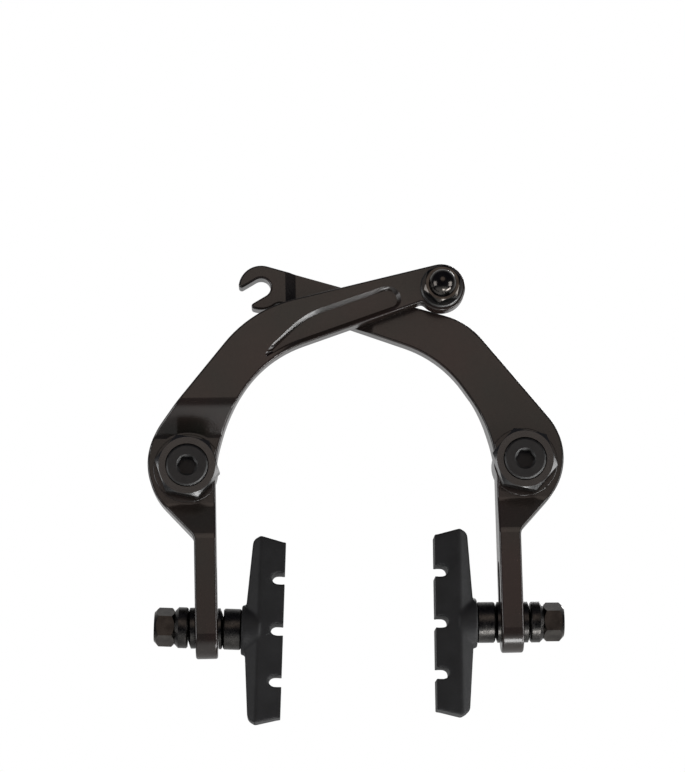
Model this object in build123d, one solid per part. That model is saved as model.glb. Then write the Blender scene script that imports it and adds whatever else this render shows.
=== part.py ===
from build123d import *
import math
import os

# Bicycle u brake. Millimetres, +X to the right as seen from the front, +Z up, front towards -Y.
# The origin lies midway between the two pivots, on the frame's mounting plane.
# Depths are given as distances forward of that plane. Every piece is drawn on the right-hand
# side, and those of the left-hand side are mirrored, so a turn there has the opposite sign.

# Pivots and running fits
pivot_spacing = 100.0
running_clearance = 0.05
side_clearance = 0.3
washer_play = 0.05

# Arm: depths forward of the mounting plane
boss_rear = 2.0
boss_front = 14.0
leg_rear = 3.0
leg_front = 17.0
upper_thickness = 6.2
rear_arm_thickness = 6.5
crossing_recess = 1.5

# Arm: outline seen from the front, measured from the pivot or the leg
leg_thickness = 6.5
leg_inner = 8.1
leg_length = 56.4
leg_corner_height = 20.6
leg_corner_radius = 4.0
shoulder_out = 18.15
shoulder_height = 0.8
shoulder_radius = 19.0
inner_knee_height = 8.85
inner_knee_radius = 42.0
arch_inset = 23.8
arch_height = 32.1
arch_radius = 35.0
boss_radius = 8.8
edge_radius = 0.65
small_bevel = 0.4
leg_end_radius = 6.9

# Arm: heights, seen from the side, at which its front and rear step to another depth
leg_ramp_foot = -20.5
leg_ramp_foot_radius = 5.0
leg_ramp_top = -11.0
leg_ramp_top_radius = 4.0
upper_ramp_foot = 10.0
upper_ramp_foot_radius = 3.0
upper_ramp_top = 18.5
upper_ramp_top_radius = 5.0
rear_ramp_foot = 9.0
rear_ramp_foot_radius = 5.0
rear_ramp_top = 21.0
rear_ramp_top_radius = 4.0
rear_arm_ramp_top = 19.0
rear_arm_ramp_radius = 5.0

# Front arm's eye and pocket
eye_across = 26.65
eye_height = 52.3
eye_radius = 7.1
front_bend_inset = 19.9
front_bend_height = 46.7
front_bend_radius = 38.0
eye_throat = (-21.4, 48.15)
eye_fillet = 1.5
pocket_depth = 1.2
pocket_wall_slope = 45.0
pocket_rim = 1.8
pocket_end_from_eye = 13.8
pocket_end_rise = 0.4
pocket_end_radius = 3.0
pocket_heel_inset = 0.7
pocket_heel_radius = 2.0
pocket_back_inset = 16.5
pocket_back_drop = 2.7
pocket_back_radius = 25.0
pocket_tail_out = 2.0
pocket_tail_drop = 1.6
pocket_tail_radius = 0.3
pocket_knee_inset = 5.0
pocket_knee_radius = 31.0

# Rear arm's open hook and the recess where the arms cross
hook_across = 27.2
hook_height = 54.5
hook_radius = 6.8
hook_seat_radius = 2.85
hook_opening_angle = 30.0
hook_throat = (-22.2, 49.9)
hook_fillet = 3.0
jaw_radius = 0.9
jaws_from_hook = (-5.0, -3.0)
rear_bend_inset = 15.5
rear_bend_height = 42.9
rear_bend_radius = 22.0
recess_right = 6.0
recess_floor_right = -1.0
recess_floor_left = -17.0
recess_left = -20.3
recess_radius = 4.0
recess_left_radius = 1.5
recess_foot = 20.0

# Pivot hardware
seat_radius = 10.2
seat_height = 0.5
seat_edge_radius = 0.3
tube_radius = 5.45
sleeve_wall = 1.0
spot_face_radius = 10.9
spring_pocket_radius = 7.3
spring_pocket_depth = 6.5
thrust_washer_radius = 8.2
thrust_washer_thickness = 0.6
adjuster_flats = 17.0
adjuster_height = 6.0
adjuster_turn = -12.0
adjuster_corner_bevel = 1.0
head_recess_depth = 4.4
bolt_head_radius = 6.15
bolt_head_height = 4.9
bolt_head_gap = 0.3
bolt_shank_radius = 4.0
bolt_socket_flats = 5.0
bolt_socket_depth = 3.0
bolt_bevel = 0.5
socket_lead_in = 0.3
thread_radius = 3.0
thread_length = 12.0
dust_cap_thickness = 1.2
dust_cap_radius = 8.4
spring_wire = 1.2
spring_coil_radius = 6.4
spring_turns = 3.25
spring_slot_length = 4.0
spring_end_gap = 0.15

# Pad and its stud
pad_forward = 10.0
pad_below_stud = 0.2
pad_face = 22.5
pad_length = 51.5
pad_spine_length = 55.2
pad_face_width = 12.0
pad_width = 13.7
pad_back_width = 7.0
pad_boss_radius = 7.4
pad_boss_root = 0.5
pad_boss_rounding = 0.4
pad_back_rounding = 2.2
pad_back_bow = 60.0
pad_shoulder = 1.2
pad_side_depth = 7.5
pad_end_depth = 9.7
pad_back_depth = 11.6
notch_width = 3.4
notch_depth = 3.8
notch_pitch = 15.1
left_pad_toe = 3.0
right_pad_toe = -0.7
stud_radius = 3.0
stud_head_radius = 4.6
stud_head_thickness = 2.0
stud_embedded = 7.0
slot_clearance = 0.25
slot_travel = 15.0
slot_end_wall = 5.8
washer_radius = 6.05
washer_bore_clearance = 0.15
leg_play = 0.2
spacer_length = 5.3
inner_dome_thickness = 2.0
outer_dome_thickness = 2.5
cup_thickness = 3.9
dome_radius = 16.0
cup_hollow_width = 1.6
cup_hollow_depth = 0.7
cup_bevel = 1.1
dome_seat_gap = 0.25
nut_flats = 10.0
nut_length = 6.1
nut_inner_bevel = 0.9
nut_outer_bevel = 1.4
nut_recess = 0.6
nut_face_step = 0.6

# Anchor bolt set in the front arm's eye
anchor_radius = 2.95
anchor_head_radius = 4.7
anchor_head_height = 2.6
anchor_head_sink = 0.2
anchor_socket_flats = 4.0
anchor_washer_radius = 6.3
anchor_washer_thickness = 1.4
dome_nut_hex_height = 4.6
dome_nut_height = 9.0
dome_nut_radius = 4.1
dome_nut_turn = 18.0
dome_nut_bevel = 0.7
dome_nut_wall = 2.9
anchor_tip_gap = 0.1
anchor_socket_depth = 1.6
hex_face_inset = 0.1

half_spacing = pivot_spacing / 2
leg_inner_x = half_spacing - leg_inner
leg_outer_x = leg_inner_x + leg_thickness
slot_radius = stud_radius + slot_clearance
stud_drop = leg_length - slot_end_wall - slot_radius
arch_corner = (half_spacing - arch_inset, arch_height)
front_bend = (half_spacing - front_bend_inset, front_bend_height)
rear_bend = (half_spacing - rear_bend_inset, rear_bend_height)
upper_rear = boss_front + side_clearance
upper_front = upper_rear + upper_thickness
rear_arm_rear = boss_front - rear_arm_thickness
sleeve_bore = tube_radius + running_clearance
sleeve_outer = sleeve_bore + sleeve_wall
pocket_floor = boss_rear + spring_pocket_depth
seat_front = boss_front + seat_height
hex_rear = seat_front + washer_play + thrust_washer_thickness
hex_front = hex_rear + adjuster_height
cap_front = boss_rear - side_clearance
beyond = 100.0


def outline(*corners):
    """A closed face through corners given as (x, y, rounding radius)."""
    starts, ends, arcs = [], [], []
    for i, (x, y, radius) in enumerate(corners):
        corner = Vector(x, y)
        before = Vector(*corners[i - 1][:2])
        after = Vector(*corners[(i + 1) % len(corners)][:2])
        back, on = (before - corner).normalized(), (after - corner).normalized()
        half = math.radians(back.get_angle(on)) / 2
        starts.append(corner + back * (radius / math.tan(half)))
        ends.append(corner + on * (radius / math.tan(half)))
        if radius:
            middle = corner + (back + on).normalized() * (radius / math.sin(half) - radius)
            arcs.append(ThreePointArc(starts[-1], middle, ends[-1]))
    lines = [Line(ends[i - 1], starts[i]) for i in range(len(corners))]
    return make_face(lines + arcs)


def tangent_point(corner, centre, radius, side):
    """Where a line from the corner touches a circle, on the side given as 1 or -1."""
    from_centre = Vector(*corner) - Vector(*centre)
    turn = side * math.degrees(math.acos(radius / from_centre.length))
    touch = Vector(*centre) + from_centre.normalized().rotate(Axis.Z, turn) * radius
    return (touch.X, touch.Y, 0)


def nearest_corners(face, place, count=1):
    return face.vertices().sort_by_distance((*place, 0))[:count]


def plate(face, rear, front):
    """A front-view face given a depth between two distances forward."""
    return extrude(Plane.XZ.offset(rear) * face, amount=front - rear)


def disc(across, height, radius, rear, front):
    return plate(Pos(across, height) * Circle(radius), rear, front)


def side_cut(face, start=0.0, end=beyond):
    """A side-view face, drawn as (-forward, height), given a width along X."""
    return extrude(Plane.YZ.offset(start) * face, amount=end - start)


def turned(*profile):
    """A body of revolution about the pivot's axis, from (radius, forward) points."""
    points = [(radius, -forward) for radius, forward in profile]
    return revolve(make_face(Polyline(*points, close=True)), Axis.Y)


def turned_along_stud(profile):
    """A body of revolution about the X axis, from a closed list of edges in (x, radius)."""
    return revolve(make_face(profile), Axis.X)


def hexagon_along_y(flats, rear, front, turn=0.0):
    face = Rot(0, 0, turn) * RegularPolygon(flats / 2, 6, major_radius=False)
    return plate(face, rear, front)


def rims(part):
    """The edges round an arm's front and rear faces, without the seams within its walls."""
    edges = ShapeList()
    for edge in part.edges():
        along = edge.tangent_at(0.5)
        wall_seam = abs(along.Y) > 0.999
        face_seam = abs(along.X) > 0.9999 and edge.geom_type == GeomType.LINE
        if not wall_seam and not face_seam:
            edges.append(edge)
    return edges


def lower_outline():
    """The corners that both arms share, from the leg's inner foot round the shoulder."""
    foot = -leg_length
    return [
        (leg_inner_x, foot - 1, 0),
        (leg_outer_x, foot - 1, 0),
        (leg_outer_x, -leg_corner_height, leg_corner_radius),
        (half_spacing + shoulder_out, shoulder_height, shoulder_radius),
    ]


def inner_outline():
    """The corners of the arch that both arms share, from the crown down to the leg."""
    return [
        (*arch_corner, arch_radius),
        (leg_inner_x, inner_knee_height, inner_knee_radius),
    ]


def leg_profile():
    """Side-view corners of the leg, from its rear face down, round its foot and up its front."""
    foot = -leg_length
    return [
        (-leg_rear, foot, leg_end_radius),
        (-leg_front, foot, leg_end_radius),
        (-leg_front, leg_ramp_foot, leg_ramp_foot_radius),
        (-boss_front, leg_ramp_top, leg_ramp_top_radius),
    ]


def pivot_seat():
    """The low round seat under the hexagon, cut off where the arm's inner edge is rounded."""
    nearby = outline(*lower_outline(), (*front_bend, 0), *inner_outline())
    inside = plate(offset(nearby, amount=-edge_radius), boss_rear, hex_front)
    seat = disc(half_spacing, 0, seat_radius, boss_front, seat_front) & inside
    return fillet(seat.faces().sort_by(Axis.Y)[0].edges(), seat_edge_radius)


def with_boss(arm):
    """The pivot boss, its spot face, seat, bore and spring pocket, and the pad stud's slot."""
    arm += disc(half_spacing, 0, boss_radius, boss_rear, boss_front)
    arm -= disc(half_spacing, 0, spot_face_radius, boss_front, beyond)
    arm += pivot_seat()
    arm -= disc(half_spacing, 0, sleeve_outer, 0, seat_front + 1)
    arm -= disc(half_spacing, 0, spring_pocket_radius, 0, pocket_floor)
    slot_width = spring_wire + 2 * side_clearance
    spring_slot = Box(spring_slot_length, slot_width, slot_width)
    arm -= Pos(half_spacing + spring_pocket_radius, slot_width / 2 - pocket_floor, 0) * spring_slot
    slot = Rot(0, 0, 90) * SlotCenterToCenter(slot_travel, 2 * slot_radius)
    slot_middle = -stud_drop + slot_travel / 2
    slot_face = Pos(-pad_forward, slot_middle) * slot
    arm -= side_cut(slot_face, leg_inner_x - 1, leg_outer_x + 1)
    return arm


def above_arch(across):
    """The height of the pocket's lower wall, which keeps its rim above the arch's straight run."""
    throat = Vector(*eye_throat)
    run = Vector(*arch_corner) - throat
    rise = run.Y / run.X * (across - throat.X)
    return throat.Y + rise + pocket_rim * run.length / run.X


def pocket_outline():
    """The floor of the front arm's long pocket, from its thin end to its round end and back."""
    round_end = pocket_end_from_eye - eye_across
    heel = round_end - pocket_heel_inset
    back = (front_bend[0] - pocket_back_inset, front_bend_height - pocket_back_drop)
    tail = (arch_corner[0] + pocket_tail_out, arch_height - pocket_tail_drop)
    knee = arch_corner[0] - pocket_knee_inset
    return outline(
        (*tail, pocket_tail_radius),
        (*back, pocket_back_radius),
        (round_end, eye_height + pocket_end_rise, pocket_end_radius),
        (heel, above_arch(heel), pocket_heel_radius),
        (knee, above_arch(knee), pocket_knee_radius),
    )


def front_arm():
    """Drawn on the right and mirrored: it starts at the left pivot and ends in the eye."""
    eye = (-eye_across, eye_height)
    corners = lower_outline()
    corners += [
        (*front_bend, front_bend_radius),
        tangent_point(front_bend, eye, eye_radius, 1),
        (*eye, 0),
        (*eye_throat, 0),
    ]
    corners += inner_outline()
    face = outline(*corners) + Pos(*eye) * Circle(eye_radius)
    face = fillet(nearest_corners(face, eye_throat), eye_fillet)
    profile = leg_profile()
    profile += [
        (-boss_front, upper_ramp_foot, upper_ramp_foot_radius),
        (-upper_front, upper_ramp_top, upper_ramp_top_radius),
        (-upper_front, beyond, 0),
        (-upper_rear, beyond, 0),
        (-upper_rear, rear_ramp_top, rear_ramp_top_radius),
        (-leg_rear, rear_ramp_foot, rear_ramp_foot_radius),
    ]
    blank = plate(face, 0, beyond) & side_cut(outline(*profile), -beyond)
    arm = with_boss(fillet(rims(blank), edge_radius))
    pocket_base = Plane.XZ.offset(upper_front - pocket_depth) * pocket_outline()
    arm -= extrude(pocket_base, amount=pocket_depth + 0.1, taper=-pocket_wall_slope)
    arm -= disc(-eye_across, eye_height, stud_radius + slot_clearance, 0, beyond)
    sink = anchor_head_height + anchor_head_sink
    recess_radius = anchor_head_radius + side_clearance
    arm -= disc(-eye_across, eye_height, recess_radius, 0, upper_rear + sink)
    return mirror(arm, Plane.YZ)


def rear_arm():
    """It starts at the right pivot, passes behind the front arm and ends in the hook."""
    hook = (-hook_across, hook_height)
    corners = lower_outline()
    corners += [
        (*rear_bend, rear_bend_radius),
        tangent_point(rear_bend, hook, hook_radius, 1),
        (*hook, 0),
        (*hook_throat, 0),
    ]
    corners += inner_outline()
    seat = Pos(*hook) * Circle(hook_seat_radius)
    mouth = Pos(-hook_radius, 0) * Rectangle(2 * hook_radius, 2 * hook_seat_radius)
    seat += Pos(*hook) * Rot(0, 0, hook_opening_angle) * mouth
    face = outline(*corners) + Pos(*hook) * Circle(hook_radius) - seat
    jaws = (jaws_from_hook[0] - hook_across, jaws_from_hook[1] + hook_height)
    face = fillet(nearest_corners(face, jaws, 2), jaw_radius)
    face = fillet(nearest_corners(face, hook_throat), hook_fillet)
    profile = leg_profile()
    profile += [
        (-boss_front, beyond, 0),
        (-rear_arm_rear, beyond, 0),
        (-rear_arm_rear, rear_arm_ramp_top, rear_arm_ramp_radius),
        (-leg_rear, rear_ramp_foot, rear_ramp_foot_radius),
    ]
    blank = plate(face, 0, beyond) & side_cut(outline(*profile), -beyond)
    recess = outline(
        (recess_right, -boss_front, recess_radius),
        (recess_floor_right, crossing_recess - boss_front, recess_radius),
        (recess_floor_left, crossing_recess - boss_front, recess_left_radius),
        (recess_left, -boss_front - 0.2, 0),
        (recess_left, -beyond, 0),
        (2 * recess_right, -beyond, 0),
        (2 * recess_right, -boss_front, 0),
    )
    arm = fillet(rims(blank), edge_radius) - extrude(Pos(0, 0, recess_foot) * recess, amount=beyond)
    return with_boss(arm)


def at_pivot(body):
    return Pos(half_spacing, 0, 0) * body


def bearing_sleeve():
    return at_pivot(
        turned(
            (sleeve_bore, pocket_floor),
            (sleeve_outer, pocket_floor),
            (sleeve_outer, seat_front),
            (sleeve_bore, seat_front),
        )
    )


def spring_adjuster(turn):
    """Hexagon and tube in one piece: the hexagon's corners are chamfered to its flats."""
    corner = adjuster_flats / math.sqrt(3)
    face_radius = adjuster_flats / 2 - hex_face_inset
    envelope = turned(
        (0, hex_rear),
        (corner, hex_rear),
        (corner, hex_front - adjuster_corner_bevel),
        (face_radius, hex_front),
        (0, hex_front),
    )
    body = hexagon_along_y(adjuster_flats, hex_rear, hex_front, turn) & envelope
    body += disc(0, 0, tube_radius, 0, hex_rear)
    body -= disc(0, 0, bolt_shank_radius + running_clearance, -1, hex_front)
    recess = bolt_head_radius + bolt_head_gap
    body -= disc(0, 0, recess, hex_front - head_recess_depth, hex_front + 1)
    return at_pivot(body)


def pivot_bolt(turn):
    seat = hex_front - head_recess_depth
    top = seat + bolt_head_height
    socket_corner = bolt_socket_flats / math.sqrt(3)
    body = turned(
        (0, -thread_length),
        (thread_radius - bolt_bevel, -thread_length),
        (thread_radius, -thread_length + bolt_bevel),
        (thread_radius, 0),
        (bolt_shank_radius - bolt_bevel, 0),
        (bolt_shank_radius, bolt_bevel),
        (bolt_shank_radius, seat),
        (bolt_head_radius, seat),
        (bolt_head_radius, top - bolt_bevel),
        (bolt_head_radius - bolt_bevel, top),
        (socket_corner + socket_lead_in, top),
        (socket_corner - socket_lead_in, top - 2 * socket_lead_in),
        (0, top - 2 * socket_lead_in),
    )
    body -= hexagon_along_y(bolt_socket_flats, top - bolt_socket_depth, top, turn)
    return at_pivot(body)


def thrust_washer():
    rear = seat_front + washer_play
    front = rear + thrust_washer_thickness
    return at_pivot(
        turned(
            (sleeve_bore, rear),
            (thrust_washer_radius, rear),
            (thrust_washer_radius, front),
            (sleeve_bore, front),
        )
    )


def return_spring():
    """A coil round the tube, between the pocket's floor and the dust cap."""
    pitch = (pocket_floor - cap_front - spring_wire - 2 * spring_end_gap) / spring_turns
    start = cap_front + spring_end_gap + spring_wire / 2
    height = pitch * spring_turns
    coil = Helix(pitch, height, spring_coil_radius)
    wire = Plane(coil @ 0, z_dir=coil % 0) * Circle(spring_wire / 2)
    body = sweep(wire, path=coil, is_frenet=True)
    body = Pos(0, -start, 0) * Rot(90, 0, 0) * body
    return at_pivot(body)


def dust_cap():
    rear = cap_front - dust_cap_thickness
    return at_pivot(
        turned(
            (sleeve_bore, rear),
            (dust_cap_radius - small_bevel, rear),
            (dust_cap_radius, rear + small_bevel),
            (dust_cap_radius, cap_front),
            (sleeve_bore, cap_front),
        )
    )


def brake_pad(boss_end):
    """Moulded block in line with its stud, drawn with the rim face at x = 0, back towards +x."""
    half_face, half_spine = pad_length / 2, pad_spine_length / 2
    side = outline(
        (0, half_face, 0),
        (pad_side_depth, half_spine, small_bevel),
        (pad_end_depth, half_spine - pad_shoulder, pad_back_rounding),
        (pad_back_depth, 0, pad_back_bow),
        (pad_end_depth, -half_spine + pad_shoulder, pad_back_rounding),
        (pad_side_depth, -half_spine, small_bevel),
        (0, -half_face, 0),
    )
    section = outline(
        (0, pad_face_width / 2, 0),
        (pad_side_depth, pad_width / 2, 0),
        (pad_back_depth + 1, pad_back_width / 2, 0),
        (pad_back_depth + 1, -pad_back_width / 2, 0),
        (pad_side_depth, -pad_width / 2, 0),
        (0, -pad_face_width / 2, 0),
    )
    body = extrude(Plane.XZ * side, amount=pad_width, both=True)
    body &= extrude(Plane.XY * section, amount=pad_length, both=True)
    boss_start = pad_side_depth - pad_boss_root
    boss = Plane.YZ.offset(boss_start) * Circle(pad_boss_radius)
    boss = extrude(boss, amount=boss_end - boss_start)
    body += fillet(boss.faces().sort_by(Axis.X)[-1].edges(), pad_boss_rounding)
    notch = Rectangle(2 * (notch_depth - notch_width / 2), notch_width)
    notch += Pos(notch_depth - notch_width / 2, 0) * Circle(notch_width / 2)
    for step in (-1, 0, 1):
        cut = Plane.XZ * Pos(0, step * notch_pitch) * notch
        body -= extrude(cut, amount=pad_width, both=True)
    return body


def at_stud(body, toe):
    """Sets a pad piece, drawn along X from the rim face, in the leg's slot and toes it in."""
    leg_middle = (leg_inner_x + leg_outer_x) / 2
    toed = Rot(0, -toe, 0) * Pos(pad_face - leg_middle, 0, 0) * body
    return Pos(leg_middle, -pad_forward, -stud_drop) * toed


def pad_stud(start, end):
    head = start + stud_head_thickness
    profile = Polyline(
        (start, 0),
        (start, stud_head_radius),
        (head, stud_head_radius),
        (head, stud_radius),
        (end - bolt_bevel, stud_radius),
        (end, stud_radius - bolt_bevel),
        (end, 0),
        close=True,
    )
    return turned_along_stud(profile)


def dome_drop(radius):
    """How far a domed washer has fallen from its peak at a radius."""
    return dome_radius - math.sqrt(dome_radius**2 - radius**2)


def domed_washer(thickness, side):
    """Flat on its base at x = 0 and domed on the other face; side is the way the dome points."""
    bore = stud_radius + washer_bore_clearance
    inner, middle, outer = [
        (side * (thickness - dome_drop(radius)), radius)
        for radius in (bore, (bore + washer_radius) / 2, washer_radius)
    ]
    walls = Polyline(outer, (0, washer_radius), (0, bore), inner)
    return turned_along_stud([ThreePointArc(inner, middle, outer), walls])


def cup_washer(seat, thickness, side, bevel):
    """Hollow on the side that takes the dome and flat on the other, with a bevelled rim."""
    bore = stud_radius + washer_bore_clearance
    end = seat + side * thickness
    profile = Polyline(
        (seat + side * cup_hollow_depth, bore),
        (seat, bore + cup_hollow_width),
        (seat, washer_radius - small_bevel),
        (seat + side * small_bevel, washer_radius),
        (end - side * bevel, washer_radius),
        (end, washer_radius - bevel),
        (end, bore),
        close=True,
    )
    return turned_along_stud(profile)


def pad_nut(start):
    corner = nut_flats / math.sqrt(3)
    face_radius = nut_flats / 2 - hex_face_inset
    end = start + nut_length
    envelope = turned_along_stud(
        Polyline(
            (start, 0),
            (start, face_radius),
            (start + nut_inner_bevel, corner),
            (end - nut_outer_bevel, corner),
            (end, face_radius - nut_face_step),
            (end, 0),
            close=True,
        )
    )
    face = Rot(0, 0, 30) * RegularPolygon(nut_flats / 2, 6, major_radius=False)
    body = extrude(Plane.YZ.offset(start) * face, amount=nut_length) & envelope
    bore = Plane.YZ.offset(start) * Circle(stud_radius)
    return body - extrude(bore, amount=nut_length)


def pad_set(toe):
    """The pad, its stud and all that clamps it to the leg, drawn outwards from the rim face.

    The two domed washers stay flat on the leg while the rest is toed in with the stud.
    """
    leg_near = leg_inner_x - pad_face - leg_play
    leg_far = leg_outer_x - pad_face + leg_play
    rise_to_cup = dome_drop(stud_radius + washer_bore_clearance + cup_hollow_width) - dome_seat_gap
    inner_seat = leg_near - inner_dome_thickness + rise_to_cup
    cup_start = leg_far + outer_dome_thickness - rise_to_cup
    nut_start = cup_start + cup_thickness
    stud_end = nut_start + nut_length - nut_recess
    boss_end = inner_seat - spacer_length
    stud = pad_stud(boss_end - stud_embedded, stud_end)
    pad = Pos(0, 0, -pad_below_stud) * brake_pad(boss_end)
    flat_on_leg = Rot(0, toe, 0)
    pieces = {
        "brake_pad": pad - stud,
        "pad_stud": stud,
        "pad_spacer": cup_washer(inner_seat, spacer_length, -1, small_bevel),
        "inner_domed_washer": Pos(leg_near, 0, 0) * flat_on_leg * domed_washer(inner_dome_thickness, -1),
        "outer_domed_washer": Pos(leg_far, 0, 0) * flat_on_leg * domed_washer(outer_dome_thickness, 1),
        "outer_cup_washer": cup_washer(cup_start, cup_thickness, 1, cup_bevel),
        "pad_nut": pad_nut(nut_start),
    }
    return {name: at_stud(body, toe) for name, body in pieces.items()}


def at_eye(body):
    return Pos(eye_across, 0, eye_height) * body


def anchor_bolt():
    rear = upper_rear + anchor_head_sink
    seat = rear + anchor_head_height
    tip = upper_front + anchor_washer_thickness + dome_nut_height - dome_nut_wall - anchor_tip_gap
    body = turned(
        (0, rear),
        (anchor_head_radius - bolt_bevel, rear),
        (anchor_head_radius, rear + bolt_bevel),
        (anchor_head_radius, seat),
        (anchor_radius, seat),
        (anchor_radius, tip - bolt_bevel),
        (anchor_radius - bolt_bevel, tip),
        (0, tip),
    )
    return at_eye(body - hexagon_along_y(anchor_socket_flats, rear, rear + anchor_socket_depth))


def anchor_washer():
    rear, front = upper_front, upper_front + anchor_washer_thickness
    bore = stud_radius + washer_bore_clearance
    return at_eye(
        turned(
            (bore, rear),
            (anchor_washer_radius, rear),
            (anchor_washer_radius, front - small_bevel),
            (anchor_washer_radius - small_bevel, front),
            (bore, front),
        )
    )


def anchor_dome_nut():
    rear = upper_front + anchor_washer_thickness
    shoulder = rear + dome_nut_hex_height
    top = rear + dome_nut_height
    corner = nut_flats / math.sqrt(3)
    face_radius = nut_flats / 2 - hex_face_inset
    envelope = turned(
        (0, rear),
        (face_radius, rear),
        (corner, rear + dome_nut_bevel),
        (corner, shoulder - dome_nut_bevel),
        (face_radius, shoulder),
        (0, shoulder),
    )
    body = hexagon_along_y(nut_flats, rear, shoulder, dome_nut_turn) & envelope
    neck = top - dome_nut_radius
    body += disc(0, 0, dome_nut_radius, rear, neck)
    body += Pos(0, -neck, 0) * Sphere(dome_nut_radius)
    body -= disc(0, 0, anchor_radius, rear, top - dome_nut_wall)
    return at_eye(body)


def one_side(turn, toe):
    """Everything on one side but its arm, drawn on the right."""
    return {
        "bearing_sleeve": bearing_sleeve(),
        "spring_adjuster": spring_adjuster(turn),
        "pivot_bolt": pivot_bolt(0.0),
        "thrust_washer": thrust_washer(),
        "return_spring": return_spring(),
        "dust_cap": dust_cap(),
        **pad_set(toe),
    }


pieces = {
    "left_arm": front_arm(),
    "right_arm": rear_arm(),
    "anchor_bolt": anchor_bolt(),
    "anchor_washer": anchor_washer(),
    "anchor_dome_nut": anchor_dome_nut(),
}
for name, body in one_side(adjuster_turn, right_pad_toe).items():
    pieces["right_" + name] = body
for name, body in one_side(-adjuster_turn, left_pad_toe).items():
    pieces["left_" + name] = mirror(body, Plane.YZ)

os.makedirs("parts", exist_ok=True)
for name, body in pieces.items():
    export_step(body, f"parts/{name}.step")
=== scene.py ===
import bpy
import math
from mathutils import Matrix, Vector


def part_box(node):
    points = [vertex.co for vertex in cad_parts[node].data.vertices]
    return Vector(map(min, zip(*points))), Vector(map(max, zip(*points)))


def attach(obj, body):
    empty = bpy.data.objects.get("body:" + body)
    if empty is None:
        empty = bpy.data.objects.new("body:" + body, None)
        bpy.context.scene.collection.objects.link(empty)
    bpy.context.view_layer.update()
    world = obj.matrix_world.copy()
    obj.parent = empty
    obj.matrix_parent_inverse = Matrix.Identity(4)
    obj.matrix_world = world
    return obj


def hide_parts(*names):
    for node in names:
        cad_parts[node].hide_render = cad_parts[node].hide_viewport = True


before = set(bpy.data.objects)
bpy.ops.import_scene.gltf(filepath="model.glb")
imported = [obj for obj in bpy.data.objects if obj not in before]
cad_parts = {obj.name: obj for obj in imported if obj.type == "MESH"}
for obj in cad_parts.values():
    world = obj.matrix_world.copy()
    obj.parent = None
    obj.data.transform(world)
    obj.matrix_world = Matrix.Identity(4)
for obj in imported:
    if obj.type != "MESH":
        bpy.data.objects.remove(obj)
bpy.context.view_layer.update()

# Brake arms
# Two forged aluminium arms that cross like calipers, each with a boss, a leg and a flat upper arm.
# They are shot blasted and coated in thin semi-gloss black, which leaves a fine grain.
# Each turns on the tube of its spring adjuster.
mm = 0.001
drift_ends = (0.35, 0.65)
grain_ends = (0.3, 0.7)


def finish(name, tones, patch, gloss, grain, relief, metallic=0.0, specular=0.5):
    """A finish that drifts between two tones, with a fine grain in its gloss and its relief.

    patch is the size of the drift and grain the size of the grain, both in metres."""
    material = bpy.data.materials.new(name)
    material.use_nodes = True
    nodes, links = material.node_tree.nodes, material.node_tree.links
    shader = nodes["Principled BSDF"]
    shader.inputs["Metallic"].default_value = metallic
    shader.inputs["Specular IOR Level"].default_value = specular
    place = nodes.new("ShaderNodeTexCoord")
    drift = nodes.new("ShaderNodeTexNoise")
    drift.inputs["Scale"].default_value = 1 / patch
    drift.inputs["Detail"].default_value = 4
    links.new(place.outputs["Object"], drift.inputs["Vector"])
    ramp = nodes.new("ShaderNodeValToRGB")
    for stop, position, tone in zip(ramp.color_ramp.elements, drift_ends, tones):
        stop.position = position
        stop.color = (*tone, 1)
    links.new(drift.outputs["Fac"], ramp.inputs["Fac"])
    links.new(ramp.outputs["Color"], shader.inputs["Base Color"])
    speckle = nodes.new("ShaderNodeTexNoise")
    speckle.inputs["Scale"].default_value = 1 / grain
    speckle.inputs["Detail"].default_value = 3
    links.new(place.outputs["Object"], speckle.inputs["Vector"])
    roughness = nodes.new("ShaderNodeMapRange")
    roughness.inputs["From Min"].default_value = grain_ends[0]
    roughness.inputs["From Max"].default_value = grain_ends[1]
    roughness.inputs["To Min"].default_value = gloss[0]
    roughness.inputs["To Max"].default_value = gloss[1]
    links.new(speckle.outputs["Fac"], roughness.inputs["Value"])
    links.new(roughness.outputs["Result"], shader.inputs["Roughness"])
    bump = nodes.new("ShaderNodeBump")
    bump.name = "grain"
    bump.inputs["Distance"].default_value = relief
    links.new(speckle.outputs["Fac"], bump.inputs["Height"])
    links.new(bump.outputs["Normal"], shader.inputs["Normal"])
    return material


def coat(material, *names):
    """Gives the named CAD pieces a finish."""
    for name in names:
        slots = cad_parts[name].data.materials
        slots.clear()
        slots.append(material)


def both(name):
    """The names of a piece that each side has."""
    return "left_" + name, "right_" + name


arm_black = finish(
    "arm_black",
    tones=((0.0165, 0.0100, 0.0084), (0.0105, 0.0102, 0.0084)),
    patch=24 * mm,
    gloss=(0.16, 0.26),
    grain=0.30 * mm,
    relief=0.006 * mm,
)
coat(arm_black, *both("arm"))

# Bearing sleeves
# Thin sintered bronze sleeves pressed into the bosses of the arms, dark with oil.
# The tubes of the spring adjusters run in them.
sleeve_bronze = finish(
    "sleeve_bronze",
    tones=((0.30, 0.19, 0.08), (0.42, 0.28, 0.13)),
    patch=3 * mm,
    gloss=(0.30, 0.5),
    grain=0.25 * mm,
    relief=0.01 * mm,
    metallic=1.0,
)
coat(sleeve_bronze, *both("bearing_sleeve"))

# Spring adjusters
# A hexagon and a tube turned and milled from one steel bar, with chamfered corners.
# The black oxide shows the rings that the lathe left on the front face.
half_spacing = 50 * mm
pivots_across = (("left", -half_spacing), ("right", half_spacing))
ring_step_at_scale_one = 0.314


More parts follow.
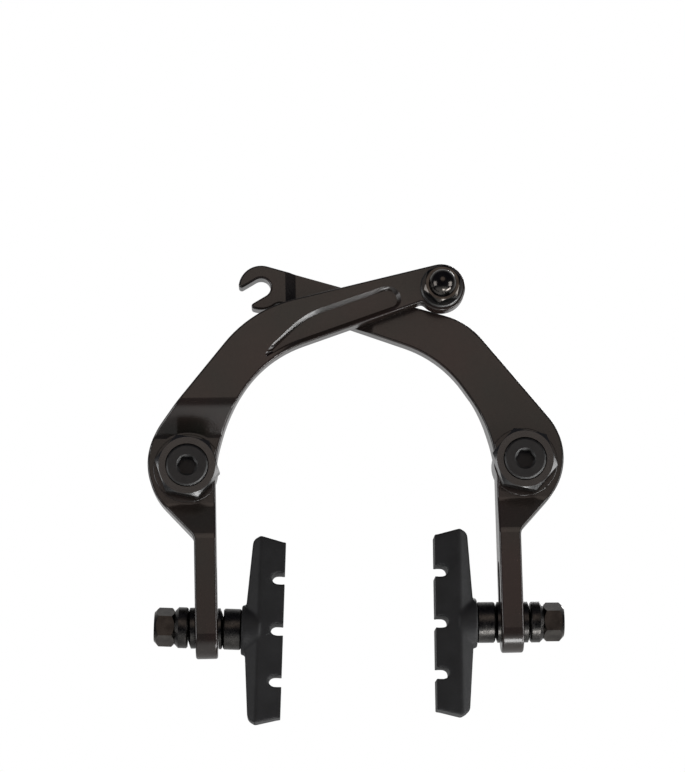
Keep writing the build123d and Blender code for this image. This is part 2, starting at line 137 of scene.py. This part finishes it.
def turn_marks(material, across, spacing, relief):
    """Adds the fine rings of a lathe, about the pivot at that place across, to a finish."""
    nodes, links = material.node_tree.nodes, material.node_tree.links
    place = nodes.new("ShaderNodeTexCoord")
    shift = nodes.new("ShaderNodeMapping")
    shift.inputs["Location"].default_value = (-across, 0, 0)
    links.new(place.outputs["Object"], shift.inputs["Vector"])
    rings = nodes.new("ShaderNodeTexWave")
    rings.wave_type = "RINGS"
    rings.rings_direction = "Y"
    rings.inputs["Scale"].default_value = ring_step_at_scale_one / spacing
    rings.inputs["Distortion"].default_value = 0.4
    rings.inputs["Detail"].default_value = 2
    links.new(shift.outputs["Vector"], rings.inputs["Vector"])
    cut = nodes.new("ShaderNodeBump")
    cut.inputs["Distance"].default_value = relief
    links.new(rings.outputs["Fac"], cut.inputs["Height"])
    links.new(nodes["grain"].outputs["Normal"], cut.inputs["Normal"])
    links.new(cut.outputs["Normal"], nodes["Principled BSDF"].inputs["Normal"])


for side, across in pivots_across:
    adjuster_black = finish(
        side + "_adjuster_black",
        tones=((0.0050, 0.0047, 0.0043), (0.0080, 0.0076, 0.0070)),
        patch=5 * mm,
        gloss=(0.20, 0.30),
        grain=0.22 * mm,
        relief=0.005 * mm,
        specular=0.9,
    )
    turn_marks(adjuster_black, across, spacing=0.32 * mm, relief=0.004 * mm)
    coat(adjuster_black, side + "_spring_adjuster")

# Thrust washers
# Thin hardened washers between the hexagons and the seats of the arms, so that neither wears.
# They are black oxide, like the hexagons.
washer_black = finish(
    "washer_black",
    tones=((0.010, 0.010, 0.010), (0.018, 0.017, 0.016)),
    patch=3 * mm,
    gloss=(0.25, 0.38),
    grain=0.2 * mm,
    relief=0.006 * mm,
)
coat(washer_black, *both("thrust_washer"))

# Return springs
# Coils of bright hard-drawn wire round the tubes, in the pockets at the backs of the arms.
# Each opens its arm after braking.
spring_steel = finish(
    "spring_steel",
    tones=((0.30, 0.29, 0.28), (0.42, 0.41, 0.40)),
    patch=3 * mm,
    gloss=(0.25, 0.4),
    grain=0.2 * mm,
    relief=0.005 * mm,
    metallic=1.0,
)
coat(spring_steel, *both("return_spring"))

# Dust caps
# Moulded black covers that close the spring pockets against the frame.
# Their backs have the soft sheen of a polished mould.
cap_plastic = finish(
    "cap_plastic",
    tones=((0.012, 0.012, 0.012), (0.018, 0.018, 0.018)),
    patch=4 * mm,
    gloss=(0.4, 0.55),
    grain=0.2 * mm,
    relief=0.01 * mm,
)
coat(cap_plastic, *both("dust_cap"))

# Pivot bolts
# Steel bolts with round socket heads, sunk in the hexagons, that hold each side to the frame.
# The heads are turned and blacked, and the ends have a rolled M6 thread with a pointed tip.
weld_distance = 0.002 * mm
head_shade_angle = math.radians(16)
thread_start = 0.02 * mm
thread_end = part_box("right_pivot_bolt")[1][1]
thread_radius = 3 * mm
thread_pitch = 1 * mm
thread_depth = 0.58 * mm
thread_runout = 1.2 * mm
thread_root_level = 1.25
thread_flank_slope = 2.6
thread_sides = 48
thread_rows = 120
thread_shade_angle = math.radians(60)
point_length = 0.7 * mm


def own_copy(node, name):
    """A new piece with the mesh of a CAD node, merged from loose triangles into one skin."""
    piece = bpy.data.objects.new(name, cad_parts[node].data.copy())
    piece.data.materials.clear()
    bpy.context.scene.collection.objects.link(piece)
    bpy.ops.object.select_all(action="DESELECT")
    piece.select_set(True)
    bpy.context.view_layer.objects.active = piece
    bpy.ops.object.mode_set(mode="EDIT")
    bpy.ops.mesh.select_all(action="SELECT")
    bpy.ops.mesh.remove_doubles(threshold=weld_distance)
    bpy.ops.mesh.normals_make_consistent(inside=False)
    bpy.ops.object.mode_set(mode="OBJECT")
    return piece


def select_nothing(vertices=False, edges=False):
    """Clears the active mesh's selection, so that vertices or edges can be picked in code."""
    bpy.context.tool_settings.mesh_select_mode = (vertices, edges, False)
    bpy.ops.object.mode_set(mode="EDIT")
    bpy.ops.mesh.select_all(action="DESELECT")
    bpy.ops.object.mode_set(mode="OBJECT")


def head_and_shank(side):
    """The bolt as far as its thread."""
    bolt = own_copy(side + "_pivot_bolt", side + "_bolt_head_and_shank")
    bpy.ops.object.mode_set(mode="EDIT")
    bpy.ops.mesh.select_all(action="SELECT")
    bpy.ops.mesh.bisect(
        plane_co=(0, thread_start, 0), plane_no=(0, 1, 0), use_fill=True, clear_outer=True
    )
    bpy.ops.mesh.select_all(action="SELECT")
    bpy.ops.mesh.normals_make_consistent(inside=False)
    bpy.ops.object.mode_set(mode="OBJECT")
    bpy.ops.object.shade_smooth_by_angle(angle=head_shade_angle)
    return bolt


def thread_surface(angle, along):
    """The thread's radius at an angle round the bolt and a place along it.

    The groove is a share of the thread's depth, clipped flat at its root and at the crest."""
    turn = (along / thread_pitch - angle / math.tau) % 1
    groove = min(max(thread_root_level - abs(turn - 0.5) * thread_flank_slope, 0), 1)
    runout = min((along - thread_start) / thread_runout, 1)
    radius = thread_radius - thread_depth * groove * runout
    return min(radius, thread_radius - point_length + (thread_end - along))


def rolled_thread(side, across):
    """The threaded end, a finely divided cylinder pressed into a helical groove."""
    bpy.ops.object.select_all(action="DESELECT")
    bpy.ops.mesh.primitive_cylinder_add(
        vertices=thread_sides,
        radius=thread_radius,
        depth=thread_end - thread_start,
        location=(across, (thread_start + thread_end) / 2, 0),
        rotation=(math.radians(90), 0, 0),
    )
    thread = bpy.context.object
    thread.name = side + "_bolt_thread"
    bpy.ops.object.transform_apply(location=True, rotation=True, scale=True)
    select_nothing(edges=True)
    for edge in thread.data.edges:
        start, end = [thread.data.vertices[index].co.y for index in edge.vertices]
        edge.select = abs(end - start) > thread_pitch
    bpy.ops.object.mode_set(mode="EDIT")
    bpy.ops.mesh.subdivide(number_cuts=thread_rows - 1)
    bpy.ops.object.mode_set(mode="OBJECT")
    for vertex in thread.data.vertices:
        angle = math.atan2(vertex.co.z, vertex.co.x - across)
        radius = thread_surface(angle, vertex.co.y)
        vertex.co.x = across + math.cos(angle) * radius
        vertex.co.z = math.sin(angle) * radius
    bpy.ops.object.shade_smooth_by_angle(angle=thread_shade_angle)
    return thread


for side, across in pivots_across:
    bolt_black = finish(
        side + "_bolt_black",
        tones=((0.0050, 0.0047, 0.0043), (0.0085, 0.0081, 0.0075)),
        patch=4 * mm,
        gloss=(0.44, 0.56),
        grain=0.22 * mm,
        relief=0.005 * mm,
        specular=0.6,
    )
    turn_marks(bolt_black, across, spacing=0.25 * mm, relief=0.005 * mm)
    bolt = head_and_shank(side)
    bolt.data.materials.append(bolt_black)
    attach(bolt, "pivots")
    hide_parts(side + "_pivot_bolt")
    thread = rolled_thread(side, across)
    thread.data.materials.append(bolt_black)
    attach(thread, "pivots")

# Anchor bolt, washer and dome nut
# A pinch clamp through the eye of the front arm, with its dome nut at the front.
# All are steel, the washer and bolt blacked and the nut in bright black chrome.
coat(washer_black, "anchor_bolt", "anchor_washer")
nut_black = finish(
    "nut_black",
    tones=((0.045, 0.041, 0.038), (0.075, 0.069, 0.063)),
    patch=3 * mm,
    gloss=(0.12, 0.22),
    grain=0.2 * mm,
    relief=0.004 * mm,
    metallic=1.0,
)
coat(nut_black, "anchor_dome_nut")

# Pads
# Moulded black rubber blocks with three water slots and a boss that holds the stud's head.
# The mould leaves a matt skin and soft round edges, except round the braking face.
pad_rubber = finish(
    "pad_rubber",
    tones=((0.0064, 0.0065, 0.0070), (0.0100, 0.0101, 0.0108)),
    patch=6 * mm,
    gloss=(0.50, 0.68),
    grain=0.22 * mm,
    relief=0.02 * mm,
    specular=0.3,
)
rim_facing_cosine = 0.9
mould_grid = 0.32 * mm
square_edge_depth = 0.6 * mm
edge_softening = 10
pad_shade_angle = math.radians(30)


def moulded_pad(side):
    """The pad with its edges softened, down to a square edge round its braking face."""
    pad = own_copy(side + "_brake_pad", side + "_pad_rubber")
    towards_rim = [
        face
        for face in pad.data.polygons
        if face.normal.x * face.center.x < -rim_facing_cosine * abs(face.center.x)
    ]
    braking_face = max(towards_rim, key=lambda face: face.area)
    face_point, face_normal = braking_face.center.copy(), braking_face.normal.copy()
    pad.data.remesh_voxel_size = mould_grid
    bpy.ops.object.voxel_remesh()
    select_nothing(vertices=True)
    for vertex in pad.data.vertices:
        depth = (face_point - vertex.co).dot(face_normal)
        vertex.select = depth > square_edge_depth
    bpy.ops.object.mode_set(mode="EDIT")
    bpy.ops.mesh.vertices_smooth(factor=0.5, repeat=edge_softening)
    bpy.ops.object.mode_set(mode="OBJECT")
    bpy.ops.object.shade_smooth_by_angle(angle=pad_shade_angle)
    return pad


for side in ("left", "right"):
    pad = moulded_pad(side)
    pad.data.materials.append(pad_rubber)
    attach(pad, side + "_arm")
    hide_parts(side + "_brake_pad")

# Pad studs, washers, spacers and nuts
# Each pad is clamped to its leg between pairs of domed and cupped steel washers by an M6 nut.
# The domes let the pad be toed in. All are steel in black chrome.
coat(nut_black, *both("pad_nut"))
stack_black = finish(
    "stack_black",
    tones=((0.030, 0.029, 0.028), (0.060, 0.057, 0.054)),
    patch=3 * mm,
    gloss=(0.22, 0.42),
    grain=0.45 * mm,
    relief=0.03 * mm,
    metallic=1.0,
)
coat(stack_black, *both("outer_cup_washer"), *both("pad_spacer"), *both("pad_stud"))
coat(stack_black, *both("inner_domed_washer"), *both("outer_domed_washer"))

# View
# The camera stands in front of the brake, a little low and to its left, and leans slightly.
# The brake lies below the middle of the picture, so the camera is aimed above its middle.
photo_height = 772
pixels_per_metre = 3385
view_distance = 0.9
view_azimuth = math.radians(1.59)
view_rise = math.radians(8.32)
view_roll = math.radians(1.30)
middle = Vector((0, -21, 0)) * mm
picture_middle = Vector((-3.57, 22.48)) * mm
ahead = Vector((0, 1, 0))
ahead = Matrix.Rotation(view_rise, 3, "X") @ ahead
ahead = Matrix.Rotation(-view_azimuth, 3, "Z") @ ahead
right = Vector((math.cos(view_azimuth), -math.sin(view_azimuth), 0))
up = right.cross(ahead)
stand = middle - ahead * view_distance
aim = middle + right * picture_middle.x + up * picture_middle.y
bpy.ops.object.select_all(action="DESELECT")
bpy.ops.object.camera_add(location=stand)
camera = bpy.context.object
turn = (aim - stand).to_track_quat("-Z", "Y").to_matrix() @ Matrix.Rotation(-view_roll, 3, "Z")
camera.rotation_euler = turn.to_euler()
camera.data.sensor_fit = "VERTICAL"
camera.data.sensor_height = 24.0
camera.data.lens = pixels_per_metre * view_distance / photo_height * camera.data.sensor_height
camera.data.clip_start = 0.01
bpy.context.scene.camera = camera

# Floor
# A pale round table top stands below the brake and takes its soft shadow.
# Away from the middle it fades into the white of the backdrop.
floor_height = -0.33
floor_radius = 2.0
fade_start = 0.2
fade_end = 0.6
bpy.ops.object.select_all(action="DESELECT")
bpy.ops.mesh.primitive_circle_add(
    vertices=96, radius=floor_radius, fill_type="NGON", location=(0, 0, floor_height)
)
floor = bpy.context.object
floor.name = "floor"
floor_paint = bpy.data.materials.new("floor_paint")
floor_paint.use_nodes = True
nodes, links = floor_paint.node_tree.nodes, floor_paint.node_tree.links
nodes.remove(nodes["Principled BSDF"])
paint = nodes.new("ShaderNodeBsdfDiffuse")
paint.inputs["Color"].default_value = (0.86, 0.86, 0.86, 1)
clear = nodes.new("ShaderNodeBsdfTransparent")
place = nodes.new("ShaderNodeTexCoord")
reach = nodes.new("ShaderNodeVectorMath")
reach.operation = "LENGTH"
fade = nodes.new("ShaderNodeMapRange")
fade.interpolation_type = "SMOOTHSTEP"
fade.inputs["From Min"].default_value = fade_start
fade.inputs["From Max"].default_value = fade_end
blend = nodes.new("ShaderNodeMixShader")
links.new(place.outputs["Object"], reach.inputs[0])
links.new(reach.outputs["Value"], fade.inputs["Value"])
links.new(fade.outputs["Result"], blend.inputs["Fac"])
links.new(paint.outputs["BSDF"], blend.inputs[1])
links.new(clear.outputs["BSDF"], blend.inputs[2])
links.new(blend.outputs["Shader"], nodes["Material Output"].inputs["Surface"])
floor.data.materials.append(floor_paint)

# Backdrop and the room that the coating mirrors
# The camera sees plain white, and matt surfaces get an even grey light from the room.
# Glossy ones mirror a dark room in front, a pale wall behind the brake, and one warm card
# above the camera, which the arms' flat faces show.
white = (1, 1, 1, 1)
room_grey = (0.50, 0.50, 0.50, 1)
dark_room = (0.05, 0.05, 0.07, 1)
pale_wall = (0.6, 0.6, 0.6, 1)
wall_start = 0.15
wall_end = 0.60
warm_card = (0.95, 0.80, 0.71, 1)
card_direction = (0, -0.93, 0.37)
card_full_angle = math.radians(10)
card_end_angle = math.radians(21)
world = bpy.data.worlds.new("studio")
bpy.context.scene.world = world
world.use_nodes = True
nodes, links = world.node_tree.nodes, world.node_tree.links
backdrop = nodes["Background"]
backdrop.inputs["Color"].default_value = white
path = nodes.new("ShaderNodeLightPath")
seen = nodes.new("ShaderNodeMath")
seen.operation = "MAXIMUM"
links.new(path.outputs["Is Camera Ray"], seen.inputs[0])
links.new(path.outputs["Is Transmission Ray"], seen.inputs[1])
room = nodes.new("ShaderNodeBackground")
room.inputs["Color"].default_value = room_grey
place = nodes.new("ShaderNodeTexCoord")
depth = nodes.new("ShaderNodeSeparateXYZ")
links.new(place.outputs["Generated"], depth.inputs["Vector"])
wall = nodes.new("ShaderNodeMapRange")
wall.inputs["From Min"].default_value = wall_start
wall.inputs["From Max"].default_value = wall_end
links.new(depth.outputs["Y"], wall.inputs["Value"])
walls = nodes.new("ShaderNodeMixRGB")
walls.inputs["Color1"].default_value = dark_room
walls.inputs["Color2"].default_value = pale_wall
links.new(wall.outputs["Result"], walls.inputs["Fac"])
near_card = nodes.new("ShaderNodeVectorMath")
near_card.operation = "DOT_PRODUCT"
near_card.inputs[1].default_value = card_direction
links.new(place.outputs["Generated"], near_card.inputs[0])
card = nodes.new("ShaderNodeMapRange")
card.interpolation_type = "SMOOTHSTEP"
card.inputs["From Min"].default_value = math.cos(card_end_angle)
card.inputs["From Max"].default_value = math.cos(card_full_angle)
links.new(near_card.outputs["Value"], card.inputs["Value"])
studio = nodes.new("ShaderNodeMixRGB")
studio.inputs["Color2"].default_value = warm_card
links.new(card.outputs["Result"], studio.inputs["Fac"])
links.new(walls.outputs["Color"], studio.inputs["Color1"])
mirrored = nodes.new("ShaderNodeBackground")
links.new(studio.outputs["Color"], mirrored.inputs["Color"])
around = nodes.new("ShaderNodeMixShader")
links.new(path.outputs["Is Glossy Ray"], around.inputs["Fac"])
links.new(room.outputs["Background"], around.inputs[1])
links.new(mirrored.outputs["Background"], around.inputs[2])
shown = nodes.new("ShaderNodeMixShader")
links.new(seen.outputs["Value"], shown.inputs["Fac"])
links.new(around.outputs["Shader"], shown.inputs[1])
links.new(backdrop.outputs["Background"], shown.inputs[2])
links.new(shown.outputs["Shader"], nodes["World Output"].inputs["Surface"])


# Lamps
# Softboxes at the left and the right light the flanks of the arms and the nuts.
# A long one and a small one below give the bright lines on lower edges.
# One behind and above lights the back of the brake.
def soft_light(name, place, width, height, watts):
    """A softbox aimed at the middle of the brake, its width as nearly along X as that allows."""
    bpy.ops.object.light_add(type="AREA", location=place)
    lamp = bpy.context.object
    lamp.name = name
    back = Vector(place).normalized()
    along = back.cross(Vector((1, 0, 0))).normalized()
    lamp.rotation_euler = Matrix((along.cross(back), along, back)).transposed().to_euler()
    lamp.data.shape = "RECTANGLE"
    lamp.data.size = width
    lamp.data.size_y = height
    lamp.data.energy = watts
    lamp.visible_camera = False


soft_light("light_left", place=(-0.55, -0.24, -0.04), width=0.30, height=0.30, watts=1.2)
soft_light("light_right", place=(0.55, -0.24, -0.08), width=0.30, height=0.30, watts=1.6)
soft_light("light_below", place=(0.25, -0.06, -0.29), width=0.34, height=0.06, watts=1.3)
soft_light("light_under", place=(0.06, -0.145, -0.30), width=0.08, height=0.08, watts=0.28)
soft_light("light_behind", place=(0.30, 0.70, 0.35), width=0.30, height=0.30, watts=2.0)

bpy.context.scene.view_settings.view_transform = "Standard"
